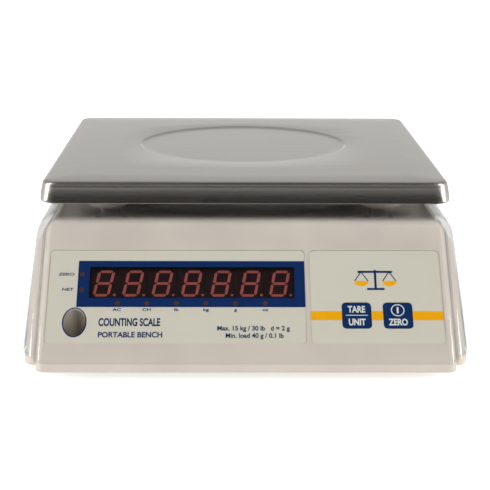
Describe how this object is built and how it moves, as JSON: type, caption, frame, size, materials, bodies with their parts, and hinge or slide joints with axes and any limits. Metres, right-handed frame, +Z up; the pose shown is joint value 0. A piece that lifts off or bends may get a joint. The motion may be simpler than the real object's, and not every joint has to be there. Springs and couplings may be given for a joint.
{
  "type": "counting scale",
  "caption": "Bench counting scale with a square stainless platter over a sloping display and key panel, under a clear in-use cover, on levelling feet.",
  "frame": {"origin": "on the bench, midway between the scale's sides and between its front and back", "axes": "+X to the right of a person reading the display, +Y to the back, +Z up"},
  "size_m": [0.3016, 0.382, 0.116],
  "materials": {
    "stainless_steel": "brushed stainless sheet, grain running left to right",
    "cast_aluminium": "die-cast, matt",
    "machined_aluminium": "machined, satin",
    "black_rubber": "matt moulded rubber",
    "black_steel": "black-oxide steel",
    "zinc_steel": "zinc-plated steel",
    "housing_plastic": "warm off-white moulded ABS, fine satin texture",
    "clear_plastic": "clear vacuum-formed sheet",
    "display_print": "printed polycarbonate overlay with a blue band",
    "keypad_print": "printed polycarbonate overlay with a yellow stripe",
    "smoked_filter": "smoked red acrylic",
    "circuit_board": "green solder mask",
    "digit_module": "black moulded face with pale segments",
    "led_lens": "unlit red lens",
    "black_plastic": "black moulded plastic",
    "blue_key": "dark blue printed key",
    "vial_acrylic": "clear acrylic",
    "vial_fluid": "pale green fluid",
    "cable_sheath": "flexible PVC sheath",
    "battery_case": "black moulded case",
    "brass": "turned brass"
  },
  "bodies": {
    "housing": {"upper_housing": "housing_plastic", "lower_case": "housing_plastic", "case_seal": "black_rubber", "case_screws": "zinc_steel", "clear_cover": "clear_plastic", "display_overlay": "display_print", "keypad_overlay": "keypad_print", "display_filter": "smoked_filter", "panel_board": "circuit_board", "digit_1": "digit_module", "digit_2": "digit_module", "digit_3": "digit_module", "digit_4": "digit_module", "digit_5": "digit_module", "digit_6": "digit_module", "digit_7": "digit_module", "indicator_leds": "led_lens", "tact_switches": "black_plastic", "board_screws": "zinc_steel", "level_cup": "black_plastic", "level_vial": "vial_acrylic", "level_fluid": "vial_fluid", "main_board": "circuit_board", "board_components": "black_plastic", "beeper": "black_plastic", "display_cable": "cable_sheath", "load_cell_cable": "cable_sheath", "battery": "battery_case", "battery_strap": "zinc_steel", "battery_leads": "cable_sheath", "battery_door": "housing_plastic", "battery_door_screw": "zinc_steel", "power_inlet": "black_plastic", "power_inlet_nut": "zinc_steel", "inlet_leads": "cable_sheath", "foot_inserts": "brass", "load_cell": "machined_aluminium", "lower_spacer": "machined_aluminium", "lower_bolts": "black_steel", "base_plate": "zinc_steel", "chassis_screws": "zinc_steel", "overload_stops": "zinc_steel"},
    "weighing_frame": {"spider": "cast_aluminium", "support_posts": "machined_aluminium", "post_caps": "black_rubber", "upper_spacer": "machined_aluminium", "upper_bolts": "black_steel"},
    "platter": {"platter": "stainless_steel", "locating_rings": "stainless_steel"},
    "tare_key": {"tare_key": "blue_key"},
    "zero_key": {"zero_key": "blue_key"},
    "foot_pad_front_left": {"foot_pad_front_left": "black_rubber"},
    "foot_screw_front_left": {"foot_screw_front_left": "black_plastic"},
    "foot_pad_front_right": {"foot_pad_front_right": "black_rubber"},
    "foot_screw_front_right": {"foot_screw_front_right": "black_plastic"},
    "foot_pad_back_left": {"foot_pad_back_left": "black_rubber"},
    "foot_screw_back_left": {"foot_screw_back_left": "black_plastic"},
    "foot_pad_back_right": {"foot_pad_back_right": "black_rubber"},
    "foot_screw_back_right": {"foot_screw_back_right": "black_plastic"}
  },
  "joints": [
    {"name": "weighing_travel", "type": "slide", "parent": "housing", "child": "weighing_frame", "axis": [0, 0, 1], "range_m": [-0.0008, 0], "stiffness_N_per_m": 400000, "springref_m": 0.00006, "deforming": ["load_cell"]},
    {"name": "platter_lift", "type": "slide", "parent": "weighing_frame", "child": "platter", "axis": [0, 0, 1], "range_m": [0, 0.08]},
    {"name": "tare_press", "type": "slide", "parent": "housing", "child": "tare_key", "axis": [0, 0.7071, -0.7071], "range_m": [0, 0.0006], "stiffness_N_per_m": 2500, "springref_m": -0.0001},
    {"name": "zero_press", "type": "slide", "parent": "housing", "child": "zero_key", "axis": [0, 0.7071, -0.7071], "range_m": [0, 0.0006], "stiffness_N_per_m": 2500, "springref_m": -0.0001},
    {"name": "foot_front_left_height", "type": "slide", "parent": "housing", "child": "foot_pad_front_left", "axis": [0, 0, -1], "range_m": [0, 0.005]},
    {"name": "foot_front_left_turn", "type": "hinge", "parent": "foot_pad_front_left", "child": "foot_screw_front_left", "pos_m": [-0.115, -0.135, 0.004], "axis": [0, 0, -1], "range_deg": [0, 1440]},
    {"name": "foot_front_right_height", "type": "slide", "parent": "housing", "child": "foot_pad_front_right", "axis": [0, 0, -1], "range_m": [0, 0.005]},
    {"name": "foot_front_right_turn", "type": "hinge", "parent": "foot_pad_front_right", "child": "foot_screw_front_right", "pos_m": [0.115, -0.135, 0.004], "axis": [0, 0, -1], "range_deg": [0, 1440]},
    {"name": "foot_back_left_height", "type": "slide", "parent": "housing", "child": "foot_pad_back_left", "axis": [0, 0, -1], "range_m": [0, 0.005]},
    {"name": "foot_back_left_turn", "type": "hinge", "parent": "foot_pad_back_left", "child": "foot_screw_back_left", "pos_m": [-0.115, 0.15, 0.004], "axis": [0, 0, -1], "range_deg": [0, 1440]},
    {"name": "foot_back_right_height", "type": "slide", "parent": "housing", "child": "foot_pad_back_right", "axis": [0, 0, -1], "range_m": [0, 0.005]},
    {"name": "foot_back_right_turn", "type": "hinge", "parent": "foot_pad_back_right", "child": "foot_screw_back_right", "pos_m": [0.115, 0.15, 0.004], "axis": [0, 0, -1], "range_deg": [0, 1440]}
  ],
  "couplings": [
    {"joint": "foot_front_left_turn", "follows": "foot_front_left_height", "rad_per_m": 5026.5},
    {"joint": "foot_front_right_turn", "follows": "foot_front_right_height", "rad_per_m": 5026.5},
    {"joint": "foot_back_left_turn", "follows": "foot_back_left_height", "rad_per_m": 5026.5},
    {"joint": "foot_back_right_turn", "follows": "foot_back_right_height", "rad_per_m": 5026.5}
  ]
}
